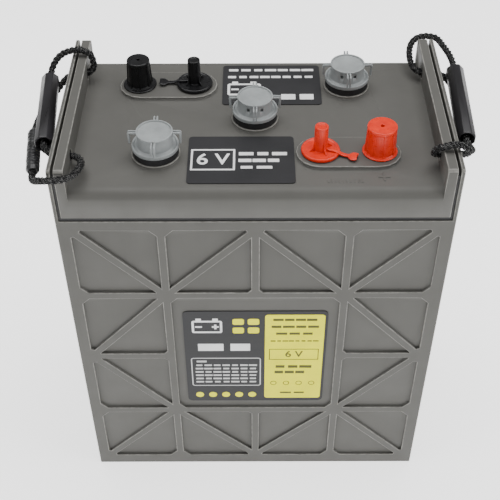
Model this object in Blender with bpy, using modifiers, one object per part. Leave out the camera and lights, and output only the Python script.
"""Deep cycle battery, six volts: a ribbed jar of three flooded cells under a lid with rope handles.

Metres, +Z up. The origin is at the middle of the jar's base. The battery is longest along X,
and the label side faces -Y. Run it with Blender 4.5.
"""

import math

import bmesh
import bpy
from mathutils import Matrix, Vector

# Jar and lid
LENGTH = 0.295
WIDTH = 0.173
EAR_TOP = 0.358
JAR_RIM = 0.3102
LID_SKIRT = 0.3138
LID_TOP = 0.3375
LID_EDGE_RADIUS = 0.008
END_PLATE_INNER = 0.1446
LID_EAR_OUTER = 0.1426
LID_EAR_INNER = 0.1352
JAR_EAR_CORNER = 0.0025
LID_EAR_CORNER = 0.003
FIT = 0.0003

# Cells
CELL_COUNT = 3
CELL_LENGTH = 0.0913
PARTITION = 0.003
CELL_PITCH = CELL_LENGTH + PARTITION
CELL_HALF_WIDTH = 0.0795
JAR_FLOOR = 0.005
REST_RIB_TOP = 0.022
REST_RIB_WIDTH = 0.004
REST_RIB_REACH = 0.141
REST_RIB_PLACES = (-0.06, -0.02, 0.02, 0.06)
LID_CEILING = 0.334

# Rib lattice on the jar's faces: pocket borders and rib lines
POCKET_DEPTH = 0.0025
RIB_WIDTH = 0.0066
HUB_RADIUS = 0.0085
LATTICE_ROWS = (0.012, 0.082, 0.157, 0.231, 0.301)
LATTICE_SIDE = 0.1374
LATTICE_HUB = 0.0705
END_LATTICE_SIDE = 0.0765

# Things on the lid
MIDDLE_Y = 0.0015
VENT_PLACES = ((-0.074, MIDDLE_Y - 0.044), (0.0, MIDDLE_Y), (0.074, MIDDLE_Y + 0.044))
VENT_BOSS_RADIUS = 0.0183
BOSS_TOP = 0.3405
NECK_RADIUS = 0.016
NECK_BORE = 0.013
NECK_BOTTOM = 0.318
PAD_CENTRE = (0.0695, -0.044)
PAD_HALF_LENGTH = 0.0393
PAD_RADIUS = 0.018
PAD_BLOCK_BOTTOM = 0.320
POST_X = 0.0927
STUD_X = 0.0485
POSITIVE_POST = 0.0087
NEGATIVE_POST = 0.0079
RISER_RADIUS = 0.007
STUB_RADIUS = 0.0065
STUD_SEAT_RADIUS = 0.009
BAR_BOTTOM = 0.326
BAR_TOP = 0.332
BAR_HALF_WIDTH = 0.0045
STUD_RADIUS = 0.00395
STUD_BOTTOM = 0.3303
STUD_TOP = 0.3612
POST_TOP = 0.3575
POST_CAP_TOP = 0.3642
STUD_CAP_TOP = 0.3640
STUD_DISC_TOP = 0.3436
SEAL_SEAT_DEPTH = 0.004
SEAL_WALL = 0.0035

# Vent caps
VENT_TOP = 0.3602
VENT_FLANGE_TOP = 0.3490
VENT_FLANGE_BOTTOM = 0.3456
VENT_STEM_BOTTOM = 0.3200
VENT_STEM_RADIUS = 0.0124
VENT_STEM_BORE = 0.0098
VENT_LUG_COUNT = 4

# Rope handles
ROPE_HOLE_Y = 0.053
ROPE_HOLE_Z = 0.346
ROPE_HOLE_RADIUS = 0.0045
ROPE_RADIUS = 0.0028
ROPE_STEP = 0.0075
GRIP_RADIUS = 0.0073
GRIP_BORE = 0.0040
SLEEVE_RADIUS = 0.0053
SLEEVE_BORE = 0.0034
TUBE_EDGE = 0.0008
PIVOT_X = 0.133
PIVOT_Z = 0.354

# Plates
NEGATIVE_PLATES = 7
PLATE_PITCH = 0.0067
NEGATIVE_THICKNESS = 0.0028
POSITIVE_THICKNESS = 0.0034
SEPARATOR_THICKNESS = 0.0016
PLATE_HALF_WIDTH = 0.073
PLATE_TOP = 0.262
STRAP_BOTTOM = 0.271
STRAP_TOP = 0.284
STRAP_HALF_WIDTH = 0.010
STRAP_INSET = 0.0022
LUG_HALF_WIDTH = 0.006
LUG_Y = 0.043
LINK_RADIUS = 0.0052

# Labels: centre and size of each
LABEL_THICKNESS = 0.0004
FRONT_LABEL = ((0.0, 0.1521), (0.1184, 0.1172))
LID_LABELS = (("lid_label_front", (-0.0105, -0.0485)), ("lid_label_rear", (0.0137, 0.0485)))
LID_LABEL_SIZE = (0.0794, 0.0553)

for old in list(bpy.data.objects):
    bpy.data.objects.remove(old, do_unlink=True)

PARTS = bpy.data.collections.new("deep_cycle_battery")
CUTTERS = bpy.data.collections.new("cutters")
bpy.context.scene.collection.children.link(PARTS)
bpy.context.scene.collection.children.link(CUTTERS)


def material(name, colour, roughness, metallic=0.0):
    made = bpy.data.materials.new(name)
    made.use_nodes = True
    shader = made.node_tree.nodes["Principled BSDF"]
    shader.inputs["Base Color"].default_value = (*colour, 1.0)
    shader.inputs["Roughness"].default_value = roughness
    shader.inputs["Metallic"].default_value = metallic
    made.diffuse_color = (*colour, 1.0)
    return made


# ---------------------------------------------------------------- helpers

def place(obj, collection=PARTS, finish=None):
    collection.objects.link(obj)
    if finish is not None:
        obj.data.materials.append(finish)
    if collection is CUTTERS:
        obj.hide_render = True
        obj.display_type = "WIRE"
    return obj


def mesh_object(name, bm, collection=PARTS, finish=None):
    bmesh.ops.recalc_face_normals(bm, faces=bm.faces)
    mesh = bpy.data.meshes.new(name)
    bm.to_mesh(mesh)
    bm.free()
    return place(bpy.data.objects.new(name, mesh), collection, finish)


def add_block(bm, low, high):
    """Adds a box between two corners to a mesh being built, and returns its vertices."""
    low, high = Vector(low), Vector(high)
    made = bmesh.ops.create_cube(bm, size=1.0)["verts"]
    for vert in made:
        vert.co = Vector(a + (b - a) * (c + 0.5) for a, b, c in zip(low, high, vert.co))
    return made


def blocks(name, corners, collection=CUTTERS, finish=None):
    bm = bmesh.new()
    for low, high in corners:
        add_block(bm, low, high)
    return mesh_object(name, bm, collection, finish)


def add_cylinder(bm, centre, radius, bottom, top, axis="Z", segments=20):
    """Adds a cylinder along X or Z; centre holds the other two coordinates."""
    turn = Matrix.Rotation(math.pi / 2, 4, "Y") if axis == "X" else Matrix.Identity(4)
    middle = (bottom + top) / 2
    place_at = (middle, *centre) if axis == "X" else (*centre, middle)
    bmesh.ops.create_cone(
        bm, cap_ends=True, segments=segments, radius1=radius, radius2=radius,
        depth=top - bottom, matrix=Matrix.Translation(place_at) @ turn)


def cylinders(name, rows, axis="Z", segments=20, collection=CUTTERS, finish=None):
    bm = bmesh.new()
    for centre, radius, bottom, top in rows:
        add_cylinder(bm, centre, radius, bottom, top, axis, segments)
    return mesh_object(name, bm, collection, finish)


def add_prism(bm, outline, start, end, to_world):
    """Adds a flat outline, extruded from start to end; to_world(u, v, w) places a point."""
    first = [bm.verts.new(to_world(u, v, start)) for u, v in outline]
    face = bm.faces.new(first)
    grown = bmesh.ops.extrude_face_region(bm, geom=[face])["geom"]
    shift = Vector(to_world(0, 0, end)) - Vector(to_world(0, 0, start))
    bmesh.ops.translate(bm, vec=shift, verts=[g for g in grown if isinstance(g, bmesh.types.BMVert)])


def boolean(target, other, operation):
    step = target.modifiers.new(f"{operation.lower()} {other.name}", "BOOLEAN")
    step.operation = operation
    step.object = other
    step.solver = "EXACT"
    return target


def cut(target, other):
    return boolean(target, other, "DIFFERENCE")


def join(target, other):
    return boolean(target, other, "UNION")


def turned(name, profile, closed, steps=24, collection=PARTS, finish=None, at=(0.0, 0.0)):
    """A piece turned about the vertical through at; profile holds (radius, height) points."""
    bm = bmesh.new()
    points = [bm.verts.new((radius, 0.0, height)) for radius, height in profile]
    for a, b in zip(points, points[1:]):
        bm.edges.new((a, b))
    if closed:
        bm.edges.new((points[-1], points[0]))
    mesh = bpy.data.meshes.new(name)
    bm.to_mesh(mesh)
    bm.free()
    obj = place(bpy.data.objects.new(name, mesh), collection, finish)
    obj.location = (*at, 0.0)
    screw = obj.modifiers.new("turn", "SCREW")
    screw.steps = steps
    screw.render_steps = steps
    screw.use_merge_vertices = True
    screw.merge_threshold = 0.00001
    screw.use_smooth_shade = True
    return obj


def arc(centre, radius, start, end, count):
    """Points on an arc in degrees, both ends included."""
    angles = [math.radians(start + (end - start) * i / count) for i in range(count + 1)]
    return [(centre[0] + radius * math.cos(a), centre[1] + radius * math.sin(a)) for a in angles]


def stadium(centre, half_length, radius, count=8):
    left = (centre[0] - half_length + radius, centre[1])
    right = (centre[0] + half_length - radius, centre[1])
    return arc(right, radius, -90, 90, count) + arc(left, radius, 90, 270, count)


def empty_at(name, location):
    obj = bpy.data.objects.new(name, None)
    obj.location = location
    PARTS.objects.link(obj)
    return obj


def attach(child, parent):
    """Parents a piece to an unturned empty, and keeps the piece where it is."""
    child.parent = parent
    child.location = Vector(child.location) - Vector(parent.location)


# ---------------------------------------------------------------- rib lattice

def clip(outline, point, normal):
    """The part of a convex outline on the side of a line that normal points to."""
    kept = []
    for a, b in zip(outline, outline[1:] + outline[:1]):
        da = (a[0] - point[0]) * normal[0] + (a[1] - point[1]) * normal[1]
        db = (b[0] - point[0]) * normal[0] + (b[1] - point[1]) * normal[1]
        if da >= 0:
            kept.append(a)
        if da * db < 0:
            t = da / (da - db)
            kept.append((a[0] + (b[0] - a[0]) * t, a[1] + (b[1] - a[1]) * t))
    return kept


def pocket(corners, hubs, side, rows):
    """A pocket between ribs: each edge moves in by half a rib, and a corner at a hub is cut."""
    centre = Vector((sum(c[0] for c in corners), sum(c[1] for c in corners))) / len(corners)
    outline = [(-side, rows[0]), (side, rows[0]), (side, rows[-1]), (-side, rows[-1])]
    for a, b in zip(corners, corners[1:] + corners[:1]):
        on_border = (a[0] == b[0] and abs(a[0]) == side) or (a[1] == b[1] and a[1] in (rows[0], rows[-1]))
        if on_border:
            continue
        along = (Vector(b) - Vector(a)).normalized()
        inward = Vector((-along.y, along.x))
        if inward.dot(centre - Vector(a)) < 0:
            inward = -inward
        outline = clip(outline, Vector(a) + inward * RIB_WIDTH / 2, inward)
    for i, corner in enumerate(corners):
        to_next = (Vector(corners[(i + 1) % len(corners)]) - Vector(corner)).normalized()
        to_last = (Vector(corners[i - 1]) - Vector(corner)).normalized()
        bisector = (to_next + to_last).normalized()
        reach = HUB_RADIUS if corner in hubs else RIB_WIDTH
        outline = clip(outline, Vector(corner) + bisector * reach, bisector)
    return outline


def front_pockets():
    bottom, low, middle, high, top = LATTICE_ROWS
    hubs = [(s * LATTICE_HUB, z) for s in (-1, 1) for z in (low, high)]
    hubs += [(s * LATTICE_SIDE, middle) for s in (-1, 1)]
    shapes = [[(-LATTICE_HUB, low), (LATTICE_HUB, low), (LATTICE_HUB, high), (-LATTICE_HUB, high)]]
    for s in (-1, 1):
        edge, hub = s * LATTICE_SIDE, s * LATTICE_HUB
        shapes += [
            [(edge, top), (hub, top), (hub, high)], [(edge, top), (hub, high), (edge, high)],
            [(0, top), (hub, top), (hub, high)], [(0, top), (hub, high), (0, high)],
            [(hub, high), (edge, high), (edge, middle)], [(hub, high), (edge, middle), (hub, middle)],
            [(edge, middle), (hub, middle), (hub, low)], [(edge, middle), (hub, low), (edge, low)],
            [(hub, low), (edge, low), (edge, bottom)], [(hub, low), (edge, bottom), (hub, bottom)],
            [(hub, low), (0, low), (0, bottom)], [(hub, low), (0, bottom), (hub, bottom)],
        ]
    return [pocket(shape, hubs, LATTICE_SIDE, LATTICE_ROWS) for shape in shapes]


def end_pockets():
    bottom, low, middle, high, top = LATTICE_ROWS
    hubs = [(0, low), (0, high)] + [(s * END_LATTICE_SIDE, middle) for s in (-1, 1)]
    shapes = []
    for s in (-1, 1):
        edge = s * END_LATTICE_SIDE
        for far, near in ((top, high), (bottom, low)):
            shapes += [[(edge, far), (0, far), (0, near)], [(edge, far), (0, near), (edge, near)]]
            shapes += [[(0, near), (edge, near), (edge, middle)], [(0, near), (edge, middle), (0, middle)]]
    return [pocket(shape, hubs, END_LATTICE_SIDE, LATTICE_ROWS) for shape in shapes]


def lattice_cutter():
    bm = bmesh.new()
    reach = 0.004
    for side in (-1, 1):
        for outline in front_pockets():
            floor = side * (WIDTH / 2 - POCKET_DEPTH)
            add_prism(bm, outline, floor, floor + side * reach, lambda u, v, w: (u, w, v))
        for outline in end_pockets():
            floor = side * (LENGTH / 2 - POCKET_DEPTH)
            add_prism(bm, outline, floor, floor + side * reach, lambda u, v, w: (w, u, v))
    return mesh_object("lattice_pockets", bm, CUTTERS)


# ---------------------------------------------------------------- jar, lid and seal

def eared_block(name, half_length, bottom, corner, finish):
    """A box up to the ears' tops, with the two long top edges rounded."""
    bm = bmesh.new()
    add_block(bm, (-half_length, -WIDTH / 2, bottom), (half_length, WIDTH / 2, EAR_TOP))
    long_edges = [
        e for e in bm.edges
        if min(v.co.z for v in e.verts) > EAR_TOP - FIT and abs(e.verts[0].co.y - e.verts[1].co.y) < FIT]
    bmesh.ops.bevel(bm, geom=long_edges, offset=corner, segments=3, profile=0.5, affect="EDGES")
    return mesh_object(name, bm, PARTS, finish)


def cell_centres():
    middle = (CELL_COUNT - 1) / 2
    return [(i - middle) * CELL_PITCH for i in range(CELL_COUNT)]


def cell_blocks(bottom, top):
    half, wide = CELL_LENGTH / 2, CELL_HALF_WIDTH
    return [((x - half, -wide, bottom), (x + half, wide, top)) for x in cell_centres()]


def rope_hole_cutter():
    reach = LENGTH / 2 + 0.01
    rows = []
    for side in (-1, 1):
        low, high = sorted((side * 0.13, side * reach))
        for y in (-ROPE_HOLE_Y, ROPE_HOLE_Y):
            rows.append(((y, ROPE_HOLE_Z), ROPE_HOLE_RADIUS, low, high))
    return cylinders("rope_holes", rows, axis="X", segments=16)


def jar(finish, rope_holes):
    body = eared_block("jar", LENGTH / 2, 0.0, JAR_EAR_CORNER, finish)
    over_rim = ((-END_PLATE_INNER, -WIDTH, JAR_RIM), (END_PLATE_INNER, WIDTH, EAR_TOP + 0.01))
    cut(body, blocks("space_over_rim", [over_rim]))
    cut(body, blocks("cell_spaces", cell_blocks(JAR_FLOOR, JAR_RIM + 0.01)))
    cut(body, lattice_cutter())
    cut(body, rope_holes)
    rest_ribs = []
    for y in REST_RIB_PLACES:
        low_corner = (-REST_RIB_REACH, y - REST_RIB_WIDTH / 2, JAR_FLOOR - 0.001)
        rest_ribs.append((low_corner, (REST_RIB_REACH, y + REST_RIB_WIDTH / 2, REST_RIB_TOP)))
    join(body, blocks("rest_ribs", rest_ribs))
    link_rows = [((LUG_Y * side, (STRAP_BOTTOM + STRAP_TOP) / 2), LINK_RADIUS + FIT, x - 0.004, x + 0.004)
                 for x, side in link_places()]
    cut(body, cylinders("link_holes", link_rows, axis="X", segments=16))
    return body


def link_places():
    """The x of each partition, and the side of the link through it: -1 front, 1 rear."""
    return [(-CELL_PITCH / 2, -1), (CELL_PITCH / 2, 1)]


def over_lid_cutter():
    """The space above the lid between its ears; its lower corners round the lid's long edges."""
    half, low, r = WIDTH / 2, LID_TOP - LID_EDGE_RADIUS, LID_EDGE_RADIUS
    front = arc((-half + r, low), r, 180, 90, 6)
    rear = arc((half - r, low), r, 90, 0, 6)
    outline = [(-half - 0.01, low)] + front + rear + [(half + 0.01, low)]
    outline += [(half + 0.01, EAR_TOP + 0.01), (-half - 0.01, EAR_TOP + 0.01)]
    bm = bmesh.new()
    add_prism(bm, outline, -LID_EAR_INNER, LID_EAR_INNER, lambda u, v, w: (w, u, v))
    return mesh_object("space_over_lid", bm, CUTTERS)


def pad_y(side):
    return MIDDLE_Y + side * PAD_CENTRE[1]


def lid_additions():
    bm = bmesh.new()
    for x, y in VENT_PLACES:
        add_cylinder(bm, (x, y), VENT_BOSS_RADIUS, LID_CEILING + 0.001, BOSS_TOP, segments=24)
    bosses = mesh_object("vent_bosses", bm, CUTTERS)
    neck_rows = [(at, NECK_RADIUS, NECK_BOTTOM, LID_TOP - 0.001) for at in VENT_PLACES]
    necks = cylinders("filler_necks", neck_rows, segments=24)
    bm = bmesh.new()
    for side in (1, -1):
        centre = (side * PAD_CENTRE[0], pad_y(side))
        outline = stadium(centre, PAD_HALF_LENGTH, PAD_RADIUS)
        add_prism(bm, outline, PAD_BLOCK_BOTTOM, BOSS_TOP, lambda u, v, w: (u, v, w))
    return bosses, necks, mesh_object("terminal_pads", bm, CUTTERS)


def terminal_sides():
    """Name and side of each terminal; the positive is at the right front."""
    return (("positive", 1), ("negative", -1))


def lid(finish, rope_holes):
    body = eared_block("lid", LID_EAR_OUTER, LID_SKIRT, LID_EAR_CORNER, finish)
    cut(body, over_lid_cutter())
    cut(body, blocks("lid_cell_spaces", cell_blocks(LID_SKIRT - 0.01, LID_CEILING)))
    for addition in lid_additions():
        join(body, addition)
    bores = [((x, y), NECK_BORE, NECK_BOTTOM - 0.001, BOSS_TOP + 0.001) for x, y in VENT_PLACES]
    cut(body, cylinders("neck_bores", bores, segments=24))
    tunnels = []
    deep = []
    seats = []
    for _, side in terminal_sides():
        y = pad_y(side)
        ends = sorted((side * STUD_X, side * POST_X))
        tunnels.append(((ends[0], y - BAR_HALF_WIDTH - FIT, BAR_BOTTOM - FIT),
                        (ends[1], y + BAR_HALF_WIDTH + FIT, BAR_TOP + FIT)))
        post_bore = (POST_X, RISER_RADIUS, PAD_BLOCK_BOTTOM - 0.001)
        stub_bore = (STUD_X, STUB_RADIUS, BAR_BOTTOM - FIT)
        for x, radius, low in (post_bore, stub_bore):
            at = (side * x, y)
            deep.append((at, radius + FIT, low, BOSS_TOP + 0.001))
            seats.append((at, radius + SEAL_WALL + FIT, BOSS_TOP - SEAL_SEAT_DEPTH, BOSS_TOP + 0.001))
    cut(body, cylinders("terminal_bores", deep))
    cut(body, blocks("terminal_bar_tunnels", tunnels))
    cut(body, cylinders("terminal_seal_seats", seats))
    cut(body, rope_holes)
    return body


def lid_seal(finish, rope_holes):
    outer_x, outer_y = END_PLATE_INNER - FIT, WIDTH / 2 - 0.0012
    bottom, top = JAR_RIM + FIT, LID_SKIRT - FIT
    ring = blocks("lid_seal", [((-outer_x, -outer_y, bottom), (outer_x, outer_y, top))], PARTS, finish)
    cut(ring, blocks("seal_spaces", cell_blocks(bottom - 0.01, top + 0.01)))
    flanges = []
    for side in (-1, 1):
        low, high = sorted((side * (LID_EAR_OUTER + FIT), side * outer_x))
        flanges.append(((low, -outer_y, bottom), (high, outer_y, EAR_TOP - 0.006)))
    join(ring, blocks("seal_flanges", flanges))
    cut(ring, rope_holes)
    return ring


# ---------------------------------------------------------------- inside the cells

def plate_xs(centre, negative):
    """Plates alternate, with a negative at both ends; the positives stand between them."""
    count = NEGATIVE_PLATES if negative else NEGATIVE_PLATES - 1
    first = centre - (count - 1) * PLATE_PITCH
    return [first + i * 2 * PLATE_PITCH for i in range(count)]


def plate_group(name, centre, negative, lug_side, finish):
    thickness = NEGATIVE_THICKNESS if negative else POSITIVE_THICKNESS
    lug = lug_side * LUG_Y
    bottom, wide = REST_RIB_TOP + FIT, PLATE_HALF_WIDTH
    outline = [(-wide, bottom), (wide, bottom), (wide, PLATE_TOP), (lug + LUG_HALF_WIDTH, PLATE_TOP),
               (lug + LUG_HALF_WIDTH, STRAP_BOTTOM + 0.002), (lug - LUG_HALF_WIDTH, STRAP_BOTTOM + 0.002),
               (lug - LUG_HALF_WIDTH, PLATE_TOP), (-wide, PLATE_TOP)]
    bm = bmesh.new()
    for x in plate_xs(centre, negative):
        add_prism(bm, outline, x - thickness / 2, x + thickness / 2, lambda u, v, w: (w, u, v))
    group = mesh_object(name, bm, PARTS, finish)
    half = CELL_LENGTH / 2 - STRAP_INSET
    strap = blocks(f"{name}_strap", [((centre - half, lug - STRAP_HALF_WIDTH, STRAP_BOTTOM),
                                      (centre + half, lug + STRAP_HALF_WIDTH, STRAP_TOP))])
    return join(group, strap)


def separators(name, centre, finish):
    """One sheet folded to and fro, so that it passes between every two plates."""
    turn_y = PLATE_HALF_WIDTH + 0.0024
    passes = 2 * (NEGATIVE_PLATES - 1)
    first = centre - (passes - 1) / 2 * PLATE_PITCH
    route = []
    for i in range(passes):
        side = 1 if i % 2 else -1
        x = first + i * PLATE_PITCH
        route += [(x, -side * turn_y), (x, side * turn_y)]
    bm = bmesh.new()
    bottom, top = REST_RIB_TOP + FIT, PLATE_TOP + 0.004
    rows = [[bm.verts.new((x, y, z)) for x, y in route] for z in (bottom, top)]
    for i in range(len(route) - 1):
        bm.faces.new((rows[0][i], rows[0][i + 1], rows[1][i + 1], rows[1][i]))
    sheet = mesh_object(name, bm, PARTS, finish)
    solid = sheet.modifiers.new("sheet", "SOLIDIFY")
    solid.thickness = SEPARATOR_THICKNESS
    solid.offset = 0.0
    solid.use_even_offset = True
    return sheet


def plate_guard(name, centre, finish):
    half_x, half_y = CELL_LENGTH / 2 - 0.002, LUG_Y - STRAP_HALF_WIDTH - 0.002
    bottom = PLATE_TOP + 0.0045
    guard = blocks(name, [((centre - half_x, -half_y, bottom), (centre + half_x, half_y, bottom + 0.0015))],
                   PARTS, finish)
    slots = []
    margin, half_slot = 0.006, 0.004
    for x in plate_xs(centre, True):
        low_corner = (x - half_slot, margin - half_y, bottom - 0.01)
        slots.append((low_corner, (x + half_slot, half_y - margin, bottom + 0.01)))
    return cut(guard, blocks(f"{name}_slots", slots))


def cells(finishes):
    """The plate groups of each cell; the rear lug of one faces the rear lug of its neighbour."""
    for i, centre in enumerate(cell_centres()):
        number = i + 1
        negative_side = -1 if i % 2 else 1
        plate_group(f"negative_plates_{number}", centre, True, negative_side, finishes["negative_plate"])
        plate_group(f"positive_plates_{number}", centre, False, -negative_side, finishes["positive_plate"])
        separators(f"separators_{number}", centre, finishes["separator"])
        plate_guard(f"plate_guard_{number}", centre, finishes["inner_plastic"])
    reach = (CELL_PITCH - CELL_LENGTH) / 2 + STRAP_INSET - FIT
    for number, (x, side) in enumerate(link_places(), start=1):
        row = ((LUG_Y * side, (STRAP_BOTTOM + STRAP_TOP) / 2), LINK_RADIUS, x - reach, x + reach)
        cylinders(f"cell_link_{number}", [row], "X", 16, PARTS, finishes["lead"])


# ---------------------------------------------------------------- terminals

def terminal(name, side, finishes, post_base, post_top):
    """A lead casting: riser and tapered post, with a bar under the lid to the stud's seat."""
    y = pad_y(side)
    post_foot = BOSS_TOP + FIT
    edge = 0.0006
    stud_at = (side * STUD_X, y)
    profile = [(0.0, POST_TOP), (post_top - edge, POST_TOP), (post_top, POST_TOP - edge), (post_base, post_foot),
               (RISER_RADIUS, post_foot), (RISER_RADIUS, STRAP_TOP + FIT), (0.0, STRAP_TOP + FIT)]
    casting = turned(f"{name}_terminal", profile, False, 20, finish=finishes["lead"], at=(side * POST_X, y))
    ends = sorted((side * STUD_X, side * POST_X))
    bar = ((ends[0], y - BAR_HALF_WIDTH, BAR_BOTTOM), (ends[1], y + BAR_HALF_WIDTH, BAR_TOP))
    join(casting, blocks(f"{name}_bar", [bar]))
    join(casting, cylinders(f"{name}_stub", [(stud_at, STUB_RADIUS, BAR_BOTTOM, post_foot + 0.0005)]))
    join(casting, cylinders(f"{name}_stud_seat", [(stud_at, STUD_SEAT_RADIUS, post_foot, post_foot + 0.0015)]))
    bore = (stud_at, STUD_RADIUS + FIT, STUD_BOTTOM - FIT, BOSS_TOP + 0.01)
    cut(casting, cylinders(f"{name}_stud_bore", [bore]))

    stud_profile = [(0.0, STUD_TOP), (STUD_RADIUS - edge, STUD_TOP), (STUD_RADIUS, STUD_TOP - edge),
                    (STUD_RADIUS, STUD_BOTTOM), (0.0, STUD_BOTTOM)]
    turned(f"{name}_stud", stud_profile, False, 16, finish=finishes["steel"], at=stud_at)
    low, high = BOSS_TOP - SEAL_SEAT_DEPTH + FIT, BOSS_TOP - FIT
    for place_name, x, radius in (("post", POST_X, RISER_RADIUS), ("stud", STUD_X, STUB_RADIUS)):
        inner, outer = radius + FIT, radius + SEAL_WALL
        ring = [(inner, high), (outer, high), (outer, low), (inner, low)]
        turned(f"{name}_{place_name}_seal", ring, True, 16, finish=finishes["rubber"], at=(side * x, y))


def post_cap(name, side, post, base, top, flange, finish):
    """A tapered cap over a post; post, base and top are radii, and the vent in its top is small."""
    foot = BOSS_TOP + FIT
    bore = post + 0.0005
    edge = 0.0008
    ceiling = POST_TOP + 0.0015
    profile = [(edge, POST_CAP_TOP), (top - edge, POST_CAP_TOP), (top, POST_CAP_TOP - edge), (base, foot + 0.0022),
               (flange, foot + 0.0016), (flange, foot), (bore, foot), (bore - 0.0007, ceiling), (edge, ceiling)]
    return turned(name, profile, True, 24, finish=finish, at=(side * POST_X, pad_y(side)))


def stud_cap(name, side, turn_deg, finish):
    foot = BOSS_TOP + 0.0006
    at = (side * STUD_X, pad_y(side))
    bore, wall, rim, edge = STUD_RADIUS + 0.00035, 0.0049, 0.0145, 0.0005
    seat_room = STUD_SEAT_RADIUS + edge
    disc, ceiling = STUD_DISC_TOP, STUD_TOP + 0.0008
    profile = [(0.0, STUD_CAP_TOP), (wall - edge, STUD_CAP_TOP), (wall, STUD_CAP_TOP - edge), (wall, disc + 0.0007),
               (wall + 0.0006, disc), (rim - FIT, disc), (rim, disc - edge), (rim, foot),
               (seat_room, foot), (seat_room, disc - edge), (bore, disc - edge), (bore, ceiling), (0.0, ceiling)]
    cap = turned(name, profile, False, 20, finish=finish, at=at)
    half, flare = 0.0017, 0.0040
    upper = [(0.0270, 0.0), (0.0285, flare), (0.0255, flare), (0.0235, half), (0.0125, half)]
    lower = [(u, -v) for u, v in reversed(upper) if v > 0.0]
    spin = Matrix.Translation((*at, 0.0)) @ Matrix.Rotation(math.radians(turn_deg), 4, "Z")
    bm = bmesh.new()
    add_prism(bm, lower + upper, foot + 0.0002, foot + 0.0014, lambda u, v, w: spin @ Vector((u, v, w)))
    return join(cap, mesh_object(f"{name}_tail", bm, CUTTERS))


# ---------------------------------------------------------------- vent caps

def vent_cap(number, at, finishes):
    lift = empty_at(f"vent_axis_{number}", (*at, LID_TOP))
    top, step, foot, edge = VENT_TOP, VENT_FLANGE_TOP, VENT_FLANGE_BOTTOM, 0.0004
    stem, bore, ceiling = VENT_STEM_RADIUS, VENT_STEM_BORE, VENT_TOP - 0.0042
    profile = [(0.0, top - 0.0010), (0.0122, top - 0.0008), (0.0127, top), (0.0134, top), (0.0137, top - edge),
               (0.0137, top - 0.0013), (0.0133, top - 0.0017), (0.0134, step - 0.0005), (0.0160, step - 0.0008),
               (0.0164, step), (0.0171, step), (0.0175, step - edge), (0.0175, foot + edge), (0.0171, foot),
               (stem, foot), (stem, VENT_STEM_BOTTOM),
               (bore, VENT_STEM_BOTTOM), (bore, ceiling), (0.0, ceiling)]
    cap = turned(f"vent_cap_{number}", profile, False, 24, finish=finishes["vent_plastic"], at=at)
    lugs = bmesh.new()
    windows = bmesh.new()
    for i in range(VENT_LUG_COUNT):
        spin = Matrix.Translation((*at, 0.0)) @ Matrix.Rotation(2 * math.pi * i / VENT_LUG_COUNT, 4, "Z")
        made = add_block(lugs, (0.0130, -0.0019, step + 0.0006), (0.0198, 0.0019, top - 0.0006))
        bmesh.ops.transform(lugs, matrix=spin, verts=made)
        made = add_block(windows, (0.0139, -0.003, step + 0.0002), (0.0187, 0.003, top - 0.0024))
        bmesh.ops.transform(windows, matrix=spin, verts=made)
    join(cap, mesh_object(f"vent_lugs_{number}", lugs, CUTTERS))
    cut(cap, mesh_object(f"vent_lug_windows_{number}", windows, CUTTERS))
    ring_inner, ring_outer = stem + 0.0004, 0.0172
    ring_top, ring_foot = foot - FIT, BOSS_TOP + FIT
    ring = [(ring_inner, ring_top), (ring_outer, ring_top), (ring_outer, ring_foot), (ring_inner, ring_foot)]
    gasket = turned(f"vent_gasket_{number}", ring, True, 24, finish=finishes["rubber"], at=at)
    baffle_radius, baffle_foot = bore - 0.0004, VENT_STEM_BOTTOM + 0.0015
    cone = [(0.0, baffle_foot + 0.0075), (0.0020, baffle_foot + 0.0069), (baffle_radius, baffle_foot + 0.0020),
            (baffle_radius, baffle_foot), (0.0, baffle_foot)]
    baffle = turned(f"vent_baffle_{number}", cone, False, 16, finish=finishes["inner_plastic"], at=at)
    for piece in (cap, gasket, baffle):
        attach(piece, lift)


# ---------------------------------------------------------------- rope handles

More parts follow.
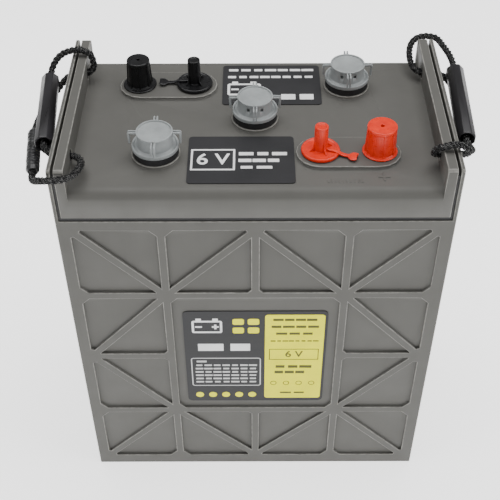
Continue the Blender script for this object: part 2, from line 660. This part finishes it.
# Each grip and each splice sleeve lies between two points. A rope starts in its sleeve's middle,
# runs to the sleeve's far end and goes all the way round to the sleeve's middle again.
LEFT_GRIP = ((-0.1554, -0.0460, 0.3508), (-0.1637, 0.0420, 0.3482))
LEFT_SLEEVE = ((-0.1694, -0.0130, 0.3376), (-0.1630, -0.0630, 0.3384))
RIGHT_GRIP = ((0.1560, -0.0412, 0.3502), (0.1604, 0.0470, 0.3520))
RIGHT_SLEEVE = ((0.1618, 0.0250, 0.3372), (0.1606, -0.0250, 0.3368))
LEFT_ROUTE = (
    (-0.1621, -0.0702, 0.3389), (-0.1596, -0.0772, 0.3423), (-0.1562, -0.0832, 0.3468),
    (-0.1518, -0.0882, 0.3510), (-0.1461, -0.0912, 0.3536), (-0.1400, -0.0916, 0.3542),
    (-0.1340, -0.0896, 0.3536), (-0.1295, -0.0830, 0.3516), (-0.1272, -0.0735, 0.3489),
    (-0.1263, -0.0652, 0.3469), (-0.1279, -0.0581, 0.3460), (-0.1328, -0.0539, 0.3458),
    (-0.1405, -0.0530, 0.3460), (-0.1470, -0.0530, 0.3467), (-0.1526, -0.0518, 0.3490),
    LEFT_GRIP[0], LEFT_GRIP[1], (-0.1641, 0.0490, 0.3492),
    (-0.1627, 0.0550, 0.3527), (-0.1594, 0.0587, 0.3569), (-0.1547, 0.0608, 0.3602),
    (-0.1493, 0.0616, 0.3621), (-0.1438, 0.0614, 0.3632), (-0.1381, 0.0606, 0.3630),
    (-0.1330, 0.0596, 0.3606), (-0.1308, 0.0581, 0.3558), (-0.1304, 0.0564, 0.3511),
    (-0.1330, 0.0546, 0.3475), (-0.1375, 0.0535, 0.3461), (-0.1430, 0.0530, 0.3459),
    (-0.1487, 0.0521, 0.3454), (-0.1536, 0.0489, 0.3431), (-0.1577, 0.0427, 0.3402),
    (-0.1617, 0.0335, 0.3379), (-0.1654, 0.0215, 0.3368), (-0.1683, 0.0075, 0.3370),
    LEFT_SLEEVE[0],
)
RIGHT_ROUTE = (
    (0.1608, -0.0320, 0.3374), (0.1603, -0.0388, 0.3392), (0.1583, -0.0455, 0.3416),
    (0.1540, -0.0508, 0.3442), (0.1480, -0.0529, 0.3459), (0.1420, -0.0530, 0.3460),
    (0.1356, -0.0533, 0.3463), (0.1309, -0.0557, 0.3489), (0.1296, -0.0594, 0.3539),
    (0.1311, -0.0626, 0.3590), (0.1362, -0.0643, 0.3620), (0.1427, -0.0642, 0.3632),
    (0.1490, -0.0641, 0.3618), (0.1541, -0.0626, 0.3578), (0.1566, -0.0578, 0.3535),
    (0.1567, -0.0500, 0.3508), RIGHT_GRIP[0], RIGHT_GRIP[1],
    (0.1603, 0.0540, 0.3530), (0.1594, 0.0608, 0.3546), (0.1572, 0.0690, 0.3560),
    (0.1544, 0.0776, 0.3568), (0.1516, 0.0860, 0.3571), (0.1474, 0.0904, 0.3567),
    (0.1405, 0.0916, 0.3563), (0.1342, 0.0896, 0.3551), (0.1296, 0.0836, 0.3532),
    (0.1276, 0.0750, 0.3508), (0.1279, 0.0658, 0.3484), (0.1302, 0.0584, 0.3468),
    (0.1350, 0.0542, 0.3460), (0.1410, 0.0530, 0.3460), (0.1475, 0.0528, 0.3456),
    (0.1532, 0.0508, 0.3438), (0.1577, 0.0460, 0.3412), (0.1603, 0.0390, 0.3388),
    (0.1615, 0.0320, 0.3375), RIGHT_SLEEVE[0],
)


def blended(a, b, t):
    return Vector(a).lerp(Vector(b), t)


def rope_points(sleeve, grip, route):
    """The hand-set route, with straight runs filled in through the sleeve and the grip."""
    points = [blended(*sleeve, t) for t in (0.51, 0.75, 1.0)]
    for point in route:
        points.append(Vector(point))
        if point == grip[0]:
            points += [blended(*grip, t) for t in (0.25, 0.5, 0.75)]
    points += [blended(*sleeve, t) for t in (0.25, 0.49)]
    return points


def smooth_route(points, step):
    """Evenly spaced points on a Catmull-Rom curve through the given ones."""
    padded = [points[0] * 2 - points[1]] + points + [points[-1] * 2 - points[-2]]
    fine = [points[0]]
    for a, b, c, d in zip(padded, padded[1:], padded[2:], padded[3:]):
        for i in range(1, 21):
            t = i / 20
            fine.append(0.5 * (2 * b + (c - a) * t + (2 * a - 5 * b + 4 * c - d) * t * t
                               + (3 * b - a - 3 * c + d) * t ** 3))
    lengths = [0.0]
    for a, b in zip(fine, fine[1:]):
        lengths.append(lengths[-1] + (b - a).length)
    count = round(lengths[-1] / step)
    even = []
    at = 0
    for i in range(count + 1):
        wanted = lengths[-1] * i / count
        while at < len(lengths) - 2 and lengths[at + 1] < wanted:
            at += 1
        part = (wanted - lengths[at]) / (lengths[at + 1] - lengths[at])
        even.append(fine[at].lerp(fine[at + 1], part))
    return even


def rope(name, sleeve, grip, route, finish):
    curve = bpy.data.curves.new(name, "CURVE")
    curve.dimensions = "3D"
    curve.bevel_depth = ROPE_RADIUS
    curve.bevel_resolution = 2
    curve.use_fill_caps = True
    points = smooth_route(rope_points(sleeve, grip, route), ROPE_STEP)
    line = curve.splines.new("POLY")
    line.points.add(len(points) - 1)
    for slot, point in zip(line.points, points):
        slot.co = (*point, 1.0)
    return place(bpy.data.objects.new(name, curve), PARTS, finish)


def tube_between(name, ends, outer, inner, chamfer, steps, finish):
    """A straight tube along the line between two points."""
    start, end = Vector(ends[0]), Vector(ends[1])
    half = (end - start).length / 2
    profile = [(inner, half), (outer - chamfer, half), (outer, half - chamfer), (outer, chamfer - half),
               (outer - chamfer, -half), (inner, -half)]
    tube = turned(name, profile, True, steps, finish=finish)
    tube.location = (start + end) / 2
    tube.rotation_mode = "QUATERNION"
    tube.rotation_quaternion = (end - start).to_track_quat("Z", "Y")
    return tube


def handle(name, side, sleeve, grip, route, finishes):
    pivot = empty_at(f"{name}_pivot", (side * PIVOT_X, 0.0, PIVOT_Z))
    pieces = [
        rope(f"{name}_rope", sleeve, grip, route, finishes["rope"]),
        tube_between(f"{name}_grip", grip, GRIP_RADIUS, GRIP_BORE, TUBE_EDGE, 8, finishes["grip"]),
        tube_between(f"{name}_splice_sleeve", sleeve, SLEEVE_RADIUS, SLEEVE_BORE, TUBE_EDGE, 12, finishes["rubber"]),
    ]
    for piece in pieces:
        attach(piece, pivot)


# ---------------------------------------------------------------- labels

def labels(finish):
    (x, z), (length, height) = FRONT_LABEL
    back = -WIDTH / 2 + POCKET_DEPTH - FIT
    blocks("front_label", [((x - length / 2, back - LABEL_THICKNESS, z - height / 2),
                            (x + length / 2, back, z + height / 2))], PARTS, finish)
    for name, (x, y) in LID_LABELS:
        half_x, half_y = LID_LABEL_SIZE[0] / 2, LID_LABEL_SIZE[1] / 2
        bottom = LID_TOP + FIT
        blocks(name, [((x - half_x, y - half_y, bottom), (x + half_x, y + half_y, bottom + LABEL_THICKNESS))],
               PARTS, finish)


def build():
    finishes = {
        "case": material("grey_case_plastic", (0.170, 0.168, 0.155), 0.5),
        "rubber": material("black_rubber", (0.012, 0.012, 0.013), 0.7),
        "vent_plastic": material("pale_grey_plastic", (0.300, 0.330, 0.330), 0.45),
        "red": material("red_vinyl", (0.850, 0.075, 0.020), 0.4),
        "black": material("black_vinyl", (0.012, 0.012, 0.014), 0.4),
        "grip": material("black_grip_plastic", (0.014, 0.013, 0.015), 0.35),
        "rope": material("black_rope", (0.018, 0.018, 0.020), 0.8),
        "label": material("dark_label_film", (0.055, 0.055, 0.062), 0.25),
        "lead": material("cast_lead", (0.300, 0.300, 0.310), 0.5, 1.0),
        "steel": material("stainless_steel", (0.600, 0.600, 0.600), 0.3, 1.0),
        "negative_plate": material("grey_sponge_lead", (0.220, 0.220, 0.225), 0.8),
        "positive_plate": material("brown_lead_dioxide", (0.080, 0.040, 0.022), 0.85),
        "separator": material("black_separator", (0.030, 0.030, 0.030), 0.8),
        "inner_plastic": material("white_inner_plastic", (0.700, 0.700, 0.690), 0.5),
    }
    rope_holes = rope_hole_cutter()
    jar(finishes["case"], rope_holes)
    lid(finishes["case"], rope_holes)
    lid_seal(finishes["rubber"], rope_holes)
    cells(finishes)
    terminal("positive", 1, finishes, POSITIVE_POST, POSITIVE_POST - 0.0008)
    terminal("negative", -1, finishes, NEGATIVE_POST, NEGATIVE_POST - 0.0008)
    post_cap("positive_post_cap", 1, POSITIVE_POST, 0.0119, 0.0108, 0.0132, finishes["red"])
    post_cap("negative_post_cap", -1, NEGATIVE_POST, 0.0102, 0.0089, 0.0134, finishes["black"])
    stud_cap("positive_stud_cap", 1, -20.0, finishes["red"])
    stud_cap("negative_stud_cap", -1, 178.0, finishes["black"])
    for number, at in enumerate(VENT_PLACES, start=1):
        vent_cap(number, at, finishes)
    handle("left_handle", -1, LEFT_SLEEVE, LEFT_GRIP, LEFT_ROUTE, finishes)
    handle("right_handle", 1, RIGHT_SLEEVE, RIGHT_GRIP, RIGHT_ROUTE, finishes)
    labels(finishes["label"])


build()
